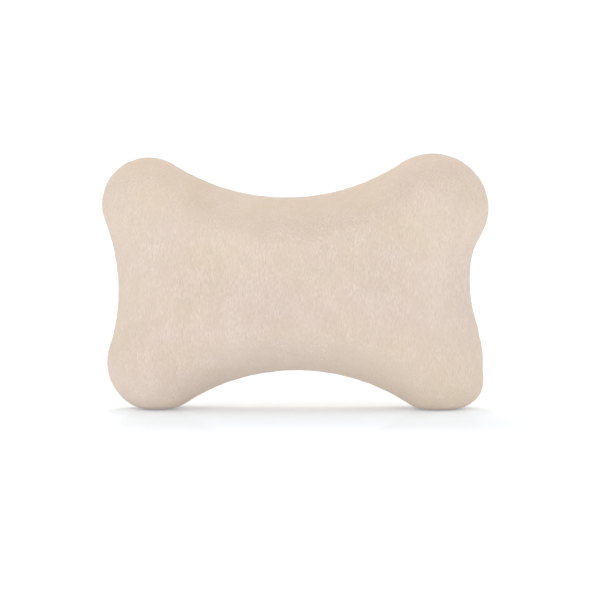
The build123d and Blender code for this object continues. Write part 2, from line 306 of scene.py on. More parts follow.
class Grid:
    """A mesh of quads over the outline: rings that follow it, then a block of rows and
    columns whose corners lie in the lobes. Node positions are (X, Z)."""

    RING_COUNT = 17
    BLEND_COUNT = 5

    def __init__(self, outline, straight_zip=False):
        self.outline = outline
        n, columns, rows = outline.count, outline.columns, outline.rows
        heights = np.linspace(0, 1, self.RING_COUNT)**1.5 * rim_height(RINGS_DEPTH / RIM)
        self.ring_share = np.array([rim_share(q) for q in heights])
        self.ring_nodes = self.RING_COUNT * n
        blend_nodes = (self.BLEND_COUNT - 1) * n
        self.block_start = self.ring_nodes + blend_nodes
        block = np.arange((rows + 1) * (columns + 1)).reshape(rows + 1, columns + 1)
        self.block = self.block_start + block
        self.edge = np.concatenate([
            self.block[rows, :-1], self.block[:0:-1, columns], self.block[0, :0:-1], self.block[:-1, 0],
        ])
        self.layers = list(np.arange(self.block_start).reshape(-1, n)) + [self.edge]
        self.count = self.block_start + self.block.size
        self.straight_zip = straight_zip
        self.quads = self.make_quads()
        self.flat = self.relaxed()
        self.depth, self.out = depth_inside(self.flat)
        rings = np.repeat(self.ring_share, n)
        self.depth[:self.ring_nodes] = rings * RIM
        self.out[:self.ring_nodes] = np.tile(outline.normal(), (self.RING_COUNT, 1))
        self.along = np.zeros(self.count)
        self.along[:self.block_start] = np.tile(run_along(outline.at(0)), self.block_start // n)

    def make_quads(self):
        quads = []
        for outer, inner in zip(self.layers, self.layers[1:]):
            quads.append(np.column_stack([outer, np.roll(outer, -1), np.roll(inner, -1), inner]))
        b = self.block
        corners = (b[1:, :-1], b[1:, 1:], b[:-1, 1:], b[:-1, :-1])
        quads.append(np.column_stack([corner.ravel() for corner in corners]))
        return np.concatenate(quads)

    def first_guess(self):
        """Blend rings and block laid out by straight interpolation."""
        points = np.zeros((self.count, 2))
        last_ring = self.outline.at(RINGS_DEPTH)
        columns, rows = self.outline.columns, self.outline.rows
        loop = np.vstack([last_ring, last_ring[:1]])
        ends = np.cumsum([0, columns, rows, columns, rows])
        sides = [loop[start:end + 1] for start, end in zip(ends, ends[1:])]
        edges = []
        for i, side in enumerate(sides):
            run = run_along(side)
            share = run / run[-1]
            a, b = LOBE_CENTRES[i], LOBE_CENTRES[(i + 1) % 4]
            toward_hollow = HOLLOWS[i] - (a + b) / 2
            sag = np.linalg.norm(toward_hollow) - HOLLOW_RADII[i] - 1.6 * RINGS_DEPTH
            bow = toward_hollow / np.linalg.norm(toward_hollow) * sag
            edges.append(a + (b - a) * share[:, None] + bow * (4 * share * (1 - share))[:, None])
        top, right, bottom, left = edges[0], edges[1][::-1], edges[2][::-1], edges[3]
        v = (np.arange(rows + 1) / rows)[:, None, None]
        u = (np.arange(columns + 1) / columns)[None, :, None]
        across = (1 - v) * bottom[None] + v * top[None]
        along = (1 - u) * left[:, None] + u * right[:, None]
        low_corners = (1 - u) * bottom[0] + u * bottom[-1]
        corners = (1 - v) * low_corners + v * ((1 - u) * top[0] + u * top[-1])
        points[self.block.ravel()] = (across + along - corners).reshape(-1, 2)
        for k in range(1, self.BLEND_COUNT):
            share = k / self.BLEND_COUNT
            layer = self.layers[self.RING_COUNT + k - 1]
            points[layer] = last_ring + (points[self.edge] - last_ring) * share
        for k in range(self.RING_COUNT):
            points[self.layers[k]] = self.outline.at(RIM * self.ring_share[k])
        return points

    def hold_zip_rows(self):
        """The set heights of the nodes in the rows beside the zip."""
        side = self.outline.at(RINGS_DEPTH)[-self.outline.rows:]
        first = int(np.argmin(np.abs(side[:, 1] - (ZIP_Z + ZIP_LEVELS[0]))))
        self.zip_row = first + len(ZIP_ROWS) - 1
        nodes = self.block[first:first + len(ZIP_LEVELS)]
        return nodes.ravel(), np.repeat(ZIP_Z + ZIP_LEVELS, nodes.shape[1])

    def hold_slit_ends(self, points):
        """The set X of the nodes in the two columns that end the slit."""
        middle_row = points[self.block[self.zip_row], 0]
        self.slit_columns = [int(np.argmin(np.abs(middle_row - x))) for x in (-SLIT_X, SLIT_X)]
        rows = slice(self.zip_row - SLIT_ROW, self.zip_row + SLIT_ROW + 1)
        nodes = self.block[rows, self.slit_columns]
        return nodes.ravel(), np.tile([-SLIT_X, SLIT_X], nodes.shape[0])

    def relaxed(self):
        """Node positions, evened out inside the fixed rings."""
        points = self.first_guess()
        holds = []
        if self.straight_zip:
            holds.append((1, *self.hold_zip_rows()))
        self.relax(points, holds)
        if self.straight_zip:
            holds.append((0, *self.hold_slit_ends(points)))
            self.relax(points, holds)
        return points

    def relax(self, points, holds):
        pairs = np.concatenate([self.quads[:, [a, (a + 1) % 4]] for a in range(4)])
        pairs = np.unique(np.sort(pairs, axis=1), axis=0)
        degree = np.bincount(pairs.ravel(), minlength=self.count)
        free = np.arange(self.count) >= self.ring_nodes
        for _ in range(RELAX_STEPS):
            total = np.zeros_like(points)
            for axis in (0, 1):
                total[:, axis] += np.bincount(pairs[:, 0], points[pairs[:, 1], axis], self.count)
                total[:, axis] += np.bincount(pairs[:, 1], points[pairs[:, 0], axis], self.count)
            points[free] = total[free] / degree[free][:, None]
            for axis, nodes, places in holds:
                points[nodes, axis] = places


def rim_height(share):
    """Height of the rim's section over the middle plane, for a depth from 0 to 1."""
    return (1 - (1 - np.clip(share, 0, 1))**RIM_POWER)**(1 / RIM_POWER)


def rim_share(height):
    return 1 - (1 - height**RIM_POWER)**(1 / RIM_POWER)


# ---- small helpers ---------------------------------------

FRONT, BACK = -1, 1
UPRIGHT = np.array([0, 0, 1.0])
ABOVE_AND_BELOW = (("upper", 1), ("lower", -1))     # the zip


def fade(value, start, end):
    """0 before start, 1 after end, and smooth between them."""
    share = np.clip((np.asarray(value, float) - start) / (end - start), 0, 1)
    return share * share * (3 - 2 * share)


def bump_at(distance, width):
    return np.exp(-(np.asarray(distance) / width)**2)


def ripple(place, *waves):
    """A smooth, uneven wave between about -1 and 1. Each wave is (length, phase)."""
    total = sum(np.sin(2 * math.pi * place / length + phase) for length, phase in waves)
    return total / len(waves)


def on_floor(z, level):
    """Heights, pressed softly flat where they would pass under a level."""
    over = z - level
    eased = (over + np.hypot(over, 2 * FLOOR_EASE)) / 2
    lift = (math.hypot(FLOOR_PRESS, 2 * FLOOR_EASE) - FLOOR_PRESS) / 2
    return level + eased - lift * (1 - fade(over, 0, FLOOR_REACH))


def unit(vectors):
    return vectors / np.maximum(np.linalg.norm(vectors, axis=-1, keepdims=True), 1e-12)


def added(name, data):
    """A new object of the scene that holds a mesh, light or camera."""
    made = bpy.data.objects.new(name, data)
    bpy.context.scene.collection.objects.link(made)
    return made


def new_piece(name, shape, material, stands_for=()):
    """A mesh piece of the pillow, from its points and faces, that stands for CAD nodes."""
    points, faces = shape
    mesh = bpy.data.meshes.new(name)
    mesh.from_pydata([tuple(p) for p in points], [], [tuple(int(i) for i in f) for f in faces])
    mesh.validate()
    mesh.polygons.foreach_set("use_smooth", [True] * len(mesh.polygons))
    mesh.materials.append(material)
    piece = added(name, mesh)
    outwards(mesh)
    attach(piece, "pillow")
    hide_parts(*stands_for)
    return piece


def outwards(mesh):
    """Turn the faces of a closed mesh so that they all look outwards."""
    work = bmesh.new()
    work.from_mesh(mesh)
    bmesh.ops.recalc_face_normals(work, faces=work.faces)
    work.to_mesh(mesh)
    work.free()
    mesh.update()


def swept(centres, section, across=None, up=None):
    """Points and faces of a solid whose section is carried along centres. The section is a
    loop of offsets, the same all along or one loop for each centre. Without given
    directions it doesn't twist more than it has to."""
    centres = np.asarray(centres, float)
    n = len(centres)
    tangent = unit(np.gradient(centres, axis=0))
    if across is None:
        start = np.cross(tangent[0], (0.31, 0.22, 0.92))
        across = [unit(start)]
        for t in tangent[1:]:
            across.append(unit(across[-1] - np.dot(across[-1], t) * t))
        across = np.array(across)
        up = np.cross(tangent, across)
    across = np.broadcast_to(across, (n, 3))
    up = np.broadcast_to(up, (n, 3))
    section = np.asarray(section, float)
    section = np.broadcast_to(section, (n,) + section.shape[-2:])
    m = section.shape[1]
    points = centres[:, None] + section[..., :1] * across[:, None] + section[..., 1:] * up[:, None]
    faces = []
    for i in range(n - 1):
        for j in range(m):
            k = (j + 1) % m
            faces.append((i * m + j, i * m + k, (i + 1) * m + k, (i + 1) * m + j))
    faces.append(tuple(range(m))[::-1])
    faces.append(tuple((n - 1) * m + j for j in range(m)))
    return points.reshape(-1, 3), faces


def joined(parts):
    """One list of points and faces from several."""
    points, faces, base = [], [], 0
    for part_points, part_faces in parts:
        points.append(part_points)
        faces += [tuple(i + base for i in f) for f in part_faces]
        base += len(part_points)
    return np.concatenate(points), faces


def circle(radius, sides):
    return radius * rays(np.arange(sides) * 2 * math.pi / sides)


# ---- the stuffed shape -----------------------------------

def over_back(x, height, z):
    """Points over the crown of the back: places along it, height over it, and Z."""
    x, height, z = np.broadcast_arrays(np.asarray(x, float), height, z)
    turn = np.arcsin(x / CROWN_RADIUS)
    reach = CROWN_RADIUS + height
    return np.stack([reach * np.sin(turn), AXIS_Y + reach * np.cos(turn), z], axis=-1)


def bent(flat):
    """Places (X, Z) inside the outline, moved by the soft bends of the right side."""
    x, z = flat[:, 0], flat[:, 1]
    shift = sum(out * bump_at(z - height, reach) for height, reach, out in RIGHT_BENDS)
    return np.column_stack([x + shift * fade(x, BENDS_FROM, BENDS_WHOLE), z])


def face_points(grid, inset, side):
    """One face of the stuffed shape, this far below its outer surface."""
    share = np.clip(grid.depth / RIM, 0, 1)
    flat = bent(grid.flat - grid.out * (inset * (1 - share))[:, None])
    half = HALF_THICKNESS - CROWN_RADIUS + np.sqrt(CROWN_RADIUS**2 - flat[:, 0]**2)
    y = MIDDLE_Y + side * (half - inset) * rim_height(share)
    return np.column_stack([flat[:, 0], y, on_floor(flat[:, 1], inset)])


def simulated_shift(grid):
    """Cloth simulation of the stuffed cover under pressure. Returns a lookup from points
    of the resting shape to how far the cloth moves there."""
    front, back = face_points(grid, 0, FRONT), face_points(grid, 0, BACK)
    faces = shared_seam(grid)
    mesh = bpy.data.meshes.new("cloth_form")
    mesh.from_pydata(np.concatenate([front, back]).tolist(), [], faces.tolist())
    outwards(mesh)
    form = added("cloth_form", mesh)
    remesh = form.modifiers.new("voxels", "REMESH")
    remesh.mode = "VOXEL"
    remesh.voxel_size = VOXEL
    bpy.context.view_layer.update()
    dense = bpy.data.meshes.new_from_object(form.evaluated_get(bpy.context.evaluated_depsgraph_get()))
    form.modifiers.remove(remesh)
    form.data = dense
    cloth = form.modifiers.new("cloth", "CLOTH")
    for name, value in CLOTH_SETTINGS.items():
        setattr(cloth.settings, name, value)
    cloth.settings.effector_weights.gravity = 0
    cloth.collision_settings.use_collision = False
    rest = np.array([v.co for v in dense.vertices])
    normal = np.array([v.normal for v in dense.vertices])
    for step in range(1, CLOTH_FRAMES + 1):
        bpy.context.scene.frame_set(step)
    moved = form.evaluated_get(bpy.context.evaluated_depsgraph_get()).to_mesh()
    shift = np.array([v.co for v in moved.vertices]) - rest
    bpy.context.scene.frame_set(1)
    bpy.data.objects.remove(form)
    swell = (shift * normal).sum(1)
    shift -= normal * swell.mean()
    length = np.linalg.norm(shift, axis=1, keepdims=True)
    shift *= np.minimum(1, CLOTH_CAP / np.maximum(length, 1e-9))
    tree = KDTree(len(rest))
    for i, point in enumerate(rest):
        tree.insert(point, i)
    tree.balance()
    return tree, shift


def shared_seam(grid):
    """Faces of the front and the back together, with one ring of points at the seam."""
    back = grid.quads + grid.count
    seam = grid.layers[0]
    back = np.where(np.isin(grid.quads, seam), grid.quads, back)
    return np.concatenate([grid.quads[:, ::-1], back])


def cloth_moved(points, side, lookup):
    """How far the simulation moves each point, with the sewn places held still."""
    if lookup is None:
        return np.zeros_like(points)
    tree, shift = lookup
    moved = np.zeros_like(points)
    for i, point in enumerate(points):
        near = tree.find_n(point, CLOTH_NEIGHBOURS)
        distance = np.array([d for _, _, d in near])
        weight = (1.001 - distance / distance[-1])**2
        moved[i] = weight @ shift[[k for _, k, _ in near]] / weight.sum()
    from_seam = np.abs(points[:, 1] - MIDDLE_Y)
    hold = CLOTH_SHARE * fade(from_seam, 1 * MM, 26 * MM) * fade(points[:, 2], 0, 14 * MM)
    if side == BACK:
        x, z = points[:, 0], points[:, 2]
        for low_x, high_x, low_z, high_z in HELD:
            beside = np.clip(np.maximum(low_x - x, x - high_x), 0, None)
            above = np.clip(np.maximum(low_z - z, z - high_z), 0, None)
            hold = hold * fade(np.hypot(beside, above), 2 * MM, HELD_MARGIN)
    return moved * hold[:, None]


# ---- panels ----------------------------------------------

def seam_pull(grid, points):
    """The side seam's groove, with soft puckers beside it."""
    from_seam = np.abs(points[:, 1] - MIDDLE_Y)
    groove = SEAM_GROOVE * bump_at(from_seam, SEAM_WIDTH)
    pucker = ripple(grid.along, (9.1 * MM, 0.3), (13.7 * MM, 1.9), (22.3 * MM, 4.1))
    beside = bump_at(from_seam - PUCKER_PLACE, PUCKER_WIDTH)
    strength = SEAM_PUCKER * (0.6 + 0.4 * ripple(grid.along, (71 * MM, 2)))
    strength *= fade(points[:, 2], 0, 10 * MM)
    inwards = groove + strength * (pucker - 0.4) * beside
    return -np.column_stack([grid.out[:, 0], np.zeros(grid.count), grid.out[:, 1]]) * inwards[:, None]


def zip_shape(points, layer_depth):
    """How far the back of the cover is pressed in along its stitching, the folded edge of
    the slit and the short seams beyond its ends."""
    x, level = np.abs(points[:, 0]), np.abs(points[:, 2] - ZIP_Z)
    within = 1 - fade(x, SLIT_X - 1 * MM, SLIT_X + 3 * MM)
    row = STITCH_GROOVE * bump_at(level - STITCH_LEVEL, STITCH_GROOVE_WIDTH) * within
    pucker = ripple(points[:, 0], (12.3 * MM, 0.4), (17.9 * MM, 2.2), (31 * MM, 5))
    row += EDGE_PUCKER * pucker * bump_at(level - 7.5 * MM, 3.5 * MM) * within
    beyond = fade(x, SLIT_X - 1 * MM, SLIT_X + 4 * MM)
    row += SEAM_GROOVE * 0.8 * bump_at(level, 1.4 * MM) * beyond
    from_slit = np.hypot(np.maximum(x - SLIT_X, 0), np.maximum(level - SLIT_Z, 0))
    into = np.clip(EDGE_RADIUS - from_slit, 0, EDGE_RADIUS)
    edge = EDGE_RADIUS - np.sqrt(EDGE_RADIUS**2 - into**2)
    row += edge if layer_depth == 0 else -edge
    return row


def make_panel(name, grid, side, quads, thick, lookup, material, slot, stands_for, depth=0.0, zipped=0):
    """A fabric panel as a closed shell, its allowance turned in at the side seam. zipped is
    1 or -1 for the back panel above or below the zip."""
    rest = face_points(grid, depth, side)
    shift = cloth_moved(face_points(grid, 0, side), side, lookup) + seam_pull(grid, rest)
    layers = []
    for below in (0, thick):
        points = face_points(grid, depth + below, side) + shift
        if zipped:
            points[:, 1] -= zip_shape(points, below)
            row = np.abs(points[:, 2] - ZIP_Z) < SEAM_GAP
            points[row, 2] = ZIP_Z + zipped * SEAM_GAP
        least = SEAM_GAP + below
        points[:, 1] = MIDDLE_Y + side * np.maximum(side * (points[:, 1] - MIDDLE_Y), least)
        layers.append(points)
    outer, inner = layers
    wall = []
    for share, over in ((1 / 3, SEAM_GAP), (2 / 3, SEAM_GAP + thick)):
        points = outer + (inner - outer) * share
        seam = grid.layers[0]
        flat = bent(grid.outline.at(depth + ALLOWANCE))
        points[seam] = np.column_stack([
            flat[:, 0], np.full(len(flat), MIDDLE_Y + side * over), on_floor(flat[:, 1], depth + thick),
        ])
        wall.append(points)
    return new_piece(name, closed_shell(quads, outer, inner, wall), material, stands_for)


def closed_shell(quads, outer, inner, wall):
    """Two layers of a grid's faces, joined round the edge through two rows of points."""
    nodes = np.unique(quads)
    place = np.full(len(outer), -1)
    place[nodes] = np.arange(len(nodes))
    top = place[quads]
    edges = np.concatenate([top[:, [a, (a + 1) % 4]] for a in range(4)])
    code = edges[:, 0] * len(nodes) + edges[:, 1]
    twin = edges[:, 1] * len(nodes) + edges[:, 0]
    rim = edges[~np.isin(code, twin)]
    rim_nodes = np.unique(rim)
    slot_of = np.full(len(nodes), -1)
    slot_of[rim_nodes] = np.arange(len(rim_nodes))
    n, m = len(nodes), len(rim_nodes)
    rows = [rim, slot_of[rim] + 2 * n, slot_of[rim] + 2 * n + m, rim + n]
    faces = [top, top[:, ::-1] + n]
    for a, b in zip(rows, rows[1:]):
        faces.append(np.column_stack([a[:, 1], a[:, 0], b[:, 0], b[:, 1]]))
    sewn = nodes[rim_nodes]
    points = np.concatenate([outer[nodes], inner[nodes], wall[0][sewn], wall[1][sewn]])
    return points, np.concatenate(faces)


def zip_quads(grid, upper):
    """The quads of the back above or below the zip, without the slit."""
    outline = grid.outline
    ray = np.arange(outline.count)
    right = outline.columns + outline.rows - grid.zip_row
    left = outline.count - outline.rows + grid.zip_row
    low_ray = (ray >= right) & (ray < left)
    ring = np.tile(~low_ray if upper else low_ray, len(grid.layers) - 1)
    row, column = np.divmod(np.arange(outline.rows * outline.columns), outline.columns)
    in_slit = np.abs(row + 0.5 - grid.zip_row) < SLIT_ROW
    in_slit &= (column >= grid.slit_columns[0]) & (column < grid.slit_columns[1])
    kept = (row >= grid.zip_row) if upper else (row < grid.zip_row)
    return grid.quads[np.concatenate([ring, kept & ~in_slit])]


def make_cover(front_grid, zip_grid, lookup):
    made_of = COVER_THICK, lookup, velour_material(), "velour"
    panels = [make_panel("front_panel", front_grid, FRONT, front_grid.quads, *made_of, ["cover_front"])]
    for name, zipped in ABOVE_AND_BELOW:
        place = zip_grid, BACK, zip_quads(zip_grid, zipped > 0)
        stands_for = [f"cover_back_{name}"]
        panels.append(make_panel(f"back_panel_{name}", *place, *made_of, stands_for, zipped=zipped))


def make_liner(grid, lookup):
    made_of = LINER_THICK, lookup, knit_material(), "liner_knit"
    for name, side in (("front", FRONT), ("back", BACK)):
        place, stands_for = (grid, side, grid.quads), [f"liner_{name}"]
        panel = make_panel(f"liner_{name}_panel", *place, *made_of, stands_for, depth=LINER_DEPTH)


def make_foam(grid, lookup):
    """The moulded core: one closed body whose front and back meet in one ring of points at the middle.
    """
    layers = []
    for side in (FRONT, BACK):
        points = face_points(grid, FOAM_DEPTH, side)
        layers.append(points + cloth_moved(face_points(grid, 0, side), side, lookup))
    faces = shared_seam(grid)
    used = np.unique(faces)
    place = np.full(2 * grid.count, -1)
    place[used] = np.arange(len(used))
    shape = np.concatenate(layers)[used], place[faces]
    foam = new_piece("foam_filling", shape, foam_material(), ["foam_core"])


# ---- zip -------------------------------------------------

def make_tapes():
    """Woven tapes, ribbed along their length, one each side of the zip."""
    material = tape_material()
    x = np.linspace(-TAPE_X, TAPE_X, 180)
    ribs = np.linspace(0, 1, TAPE_RIBS * 4 + 1)
    for name, side in ABOVE_AND_BELOW:
        low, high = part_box(f"zipper_tape_{name}")
        near, far = (low.z, high.z) if side > 0 else (high.z, low.z)
        z = near + (far - near) * ribs
        rib = TAPE_RIB * np.cos(ribs * TAPE_RIBS * 2 * math.pi)
        top = np.column_stack([z - ZIP_Z, TAPE_HALF + rib])
        bottom = np.column_stack([z - ZIP_Z, np.full_like(z, -TAPE_HALF)])[::-1]
        section = np.concatenate([top, bottom])
        centres = over_back(x, -TAPE_DEPTH, ZIP_Z)
        out = unit(over_back(x, 0, ZIP_Z) - over_back(x, -5 * MM, ZIP_Z))
        shape = swept(centres, section, UPRIGHT, out)
        tape = new_piece(f"tape_{name}", shape, material, [f"zipper_tape_{name}"])


def make_coils():
    """Two nylon coils whose loops lock together on the centre line."""
    material = nylon_material()
    turns = round(2 * COIL_X / COIL_PITCH)
    steps = turns * COIL_STEPS + 1
    turn = np.linspace(0, turns * 2 * math.pi, steps)
    for name, side in ABOVE_AND_BELOW:
        low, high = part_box(f"zipper_coil_{name}")
        outer_edge = high.z - ZIP_Z if side > 0 else ZIP_Z - low.z
        half = (outer_edge + COIL_OVERLAP) / 2 - COIL_WIRE
        middle = (outer_edge - COIL_OVERLAP) / 2
        phase = 0 if side > 0 else math.pi
        c, s = np.cos(turn + phase), np.sin(turn + phase)
        # A squared loop: the heads are broad where they lock, the legs run straight.
        across = np.sign(c) * np.abs(c)**0.75 * half
        rise = np.sign(s) * np.abs(s)**0.8 * COIL_RISE
        along = -COIL_X + (turn / (2 * math.pi)) * 2 * COIL_X / turns
        centres = over_back(along, -COIL_DEPTH + rise, ZIP_Z + side * (middle - across))
        shape = swept(centres, circle(COIL_WIRE, 7))
        new_piece(f"coil_{name}", shape, material, [f"zipper_coil_{name}"])


def make_stitching():
    """Rows of single stitches, their ends sunk in the cloth."""
    material = thread_material()
    share = np.linspace(-1, 1, 9)
    for name, side in ABOVE_AND_BELOW:
        low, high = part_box(f"zip_stitching_{name}")
        z = (low.z + high.z) / 2
        parts = []
        for i in range(STITCH_COUNT):
            start = (i - STITCH_COUNT / 2) * STITCH_PITCH
            x = start + STITCH_LENGTH / 2 + share * STITCH_LENGTH / 2
            middle = start + STITCH_LENGTH / 2
            on_label = side < 0 and LABEL_LOW.x - 1 * MM < middle < LABEL_HIGH.x + 1 * MM
            base = STITCH_ON_LABEL if on_label else -STITCH_GROOVE + 0.1 * MM
            height = base + STITCH_THREAD - STITCH_DIP * np.abs(share)**4
            lean = STITCH_LEAN * math.sin(i * 2.4)
            sizes = STITCH_THREAD * np.sqrt(1 - 0.8 * np.abs(share)**3)
            section = circle(1, 8)[None] * sizes[:, None, None]
            parts.append(swept(over_back(x, height, z + lean * share), section))
        new_piece(f"stitches_{name}", joined(parts), material, [f"zip_stitching_{name}"])


# ---- strap and label -------------------------------------

def meeting_arcs():
    """The strap's line in plan, from the middle to its right end: arcs of (centre, radius,
    start angle, end angle) that bow away from the back, bend and lie on it."""
    seat = CROWN_RADIUS + STRAP_SEAT
    top = STRAP_HIGH.y - STRAP_THICK
    meet = over_back(STRAP_LIFT_X, STRAP_SEAT, 0)[:2]
    fall = top - meet[1]
    bow = (meet[0]**2 + fall**2) / (2 * fall)
    bow_centre = np.array([0, top - bow])
    axis = np.array([0, AXIS_Y])
    lift = touching_centre((*bow_centre, bow), (*axis, seat), STRAP_LIFT_RADIUS)
    join, leave = turn_of(lift - bow_centre), turn_of(lift - axis)
    end = math.pi / 2 - math.asin(STRAP_END / CROWN_RADIUS)
    return [
        (bow_centre, bow, math.pi / 2, join),
        (lift, STRAP_LIFT_RADIUS, join + math.pi, leave + math.pi),
        (axis, seat, leave, end),
    ]


def strap_line():
    """Points (X, Y) down the middle of the strap, hem to hem, and its outward normals."""
    half = []
    for k, (centre, radius, start, end) in enumerate(meeting_arcs()):
        sign = -1 if k == 1 else 1
        size = radius + sign * STRAP_THICK / 2
        steps = max(4, int(abs(end - start) * radius / STRAP_STEP))
        turn = np.linspace(start, end, steps + 1)[1 if k else 0:]
        half.append((centre + size * rays(turn), sign * rays(turn)))
    points = np.concatenate([p for p, _ in half])
    out = np.concatenate([o for _, o in half])
    # The end folds under and the hem runs back beneath the strap.
    fold = (STRAP_SEAT - HEM_OUTER) / 2
    end, normal = points[-1], out[-1]
    forward = np.array([normal[1], -normal[0]])
    middle = end - normal * fold
    turn = np.linspace(0, math.pi, 12)[1:]
    bend_out = np.outer(np.cos(turn), normal) + np.outer(np.sin(turn), forward)
    bend = middle + fold * bend_out
    along = np.arange(1, int(HEM_LENGTH / STRAP_STEP) + 1) * STRAP_STEP
    radius = np.linalg.norm(bend[-1] - (0, AXIS_Y))
    angle = turn_of(bend[-1] - (0, AXIS_Y)) + along / radius
    points = np.concatenate([points, bend, np.array([0, AXIS_Y]) + radius * rays(angle)])
    out = np.concatenate([out, bend_out, -rays(angle)])
    mirror = np.array([-1, 1])
    return np.concatenate([points[:0:-1] * mirror, points]), np.concatenate([out[:0:-1] * mirror, out])


def make_strap():
    """Ribbed elastic: cords along it, and fine waves where the rubber draws it in."""
    line, out = strap_line()
    n = len(line)
    width = np.linspace(-1, 1, STRAP_RIBS * 4 + 1)
    rib = STRAP_RIB * np.cos((width + 1) * STRAP_RIBS * math.pi)
    edge = np.sqrt(np.clip(1 - ((np.abs(width) - 0.96) / 0.04).clip(0)**2, 0.1, 1))
    half = STRAP_THICK / 2 - 0.15 * MM
    top = np.column_stack([width * STRAP_WIDTH / 2, (half + rib) * edge])
    bottom = np.column_stack([width * STRAP_WIDTH / 2, -(half + rib) * edge])[::-1]
    section = np.concatenate([top, bottom])
    centres = np.column_stack([line, np.full(n, STRAP_Z)])
    run = run_along(line)
    wave = STRAP_WAVE * ripple(run, (4.3 * MM, 0), (6.1 * MM, 1))
    draw = 1 + 0.012 * ripple(run, (19 * MM, 0.5), (43 * MM, 2))
    draw -= STRAP_NARROWING * bump_at(run - run[-1] / 2, 60 * MM)
    section = section[None] * np.stack([draw, np.ones(n)], axis=1)[:, None]
    up = np.column_stack([out, np.zeros(n)])
    free = fade(STRAP_LIFT_X - np.abs(line[:, 0]), 4 * MM, 14 * MM)
    centres += up * (wave * free)[:, None]
    shape = swept(centres, section, UPRIGHT, up)
    strap = new_piece("strap_band", shape, elastic_material(), ["elastic_strap"])
    tacks = [make_tack(name, side) for name, side in (("left", -1), ("right", 1))]


def bar_tack(middle, low, high, base, lie):
    """Thread laid to and fro over the back, its turns lower than its middle."""
    zigzag = np.arange(2 * int((high - low) / TACK_PITCH) + 1)
    share = np.linspace(0, 1, 5)[:-1]
    way = np.where(zigzag % 2, 1.0, -1.0)
    x = np.concatenate([a + (b - a) * share for a, b in zip(way, way[1:])])
    jitter = 0.1 * MM * np.sin(np.arange(len(x)) * 1.7)
    height = base + lie * (1 - np.abs(x)**6)
    line = over_back(middle + x * TACK_BAR / 2 + jitter, height, np.linspace(low, high, len(x)))
    return swept(line, circle(TACK_THREAD, 6))


def make_tack(name, side):
    """Two bar tacks across each end of the strap, and one across the end of the slit."""
    low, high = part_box(f"strap_tack_{name}")
    parts = [bar_tack(side * x, low.z, high.z, TACK_BASE, 0.35 * MM) for x in TACK_X]
    tack = new_piece(f"tack_{name}", joined(parts), thread_material(), [f"strap_tack_{name}"])
    low, high = ZIP_Z - END_TACK_HALF, ZIP_Z + END_TACK_HALF
    end_tack = bar_tack(side * END_TACK_X, low, high, -0.1 * MM, 0.4 * MM)
    new_piece(f"slit_tack_{name}", end_tack, thread_material())
    return tack


def make_label():
    """A blank satin label, caught in the stitching at its top and free below."""
    columns, rows = 31, 23
    u, v = np.meshgrid(np.linspace(-1, 1, columns), np.linspace(0, 1, rows))
    x = LABEL_MIDDLE + u * (LABEL_HIGH.x - LABEL_LOW.x) / 2
    z = LABEL_HIGH.z - v * (LABEL_HIGH.z - LABEL_LOW.z)
    loose = fade(v, 0.2, 1)
    lift = 0.25 * MM + loose * (0.5 + 0.45 * np.sin(u * 2.1 + 0.6) + 0.5 * v * u**2) * MM
    z = z + 0.35 * MM * loose * u**2
    outer = over_back(x, lift + LABEL_THICK, z).reshape(-1, 3)
    inner = over_back(x, lift, z).reshape(-1, 3)
    index = np.arange(columns * rows).reshape(rows, columns)
    corners = (index[:-1, :-1], index[:-1, 1:], index[1:, 1:], index[1:, :-1])
    quads = np.column_stack([corner.ravel() for corner in corners])
    wall = [outer + (inner - outer) * share for share in (1 / 3, 2 / 3)]
    shape = closed_shell(quads, outer, inner, wall)
    label = new_piece("blank_label", shape, satin_material(), ["care_label"])


# ---- materials -------------------------------------------

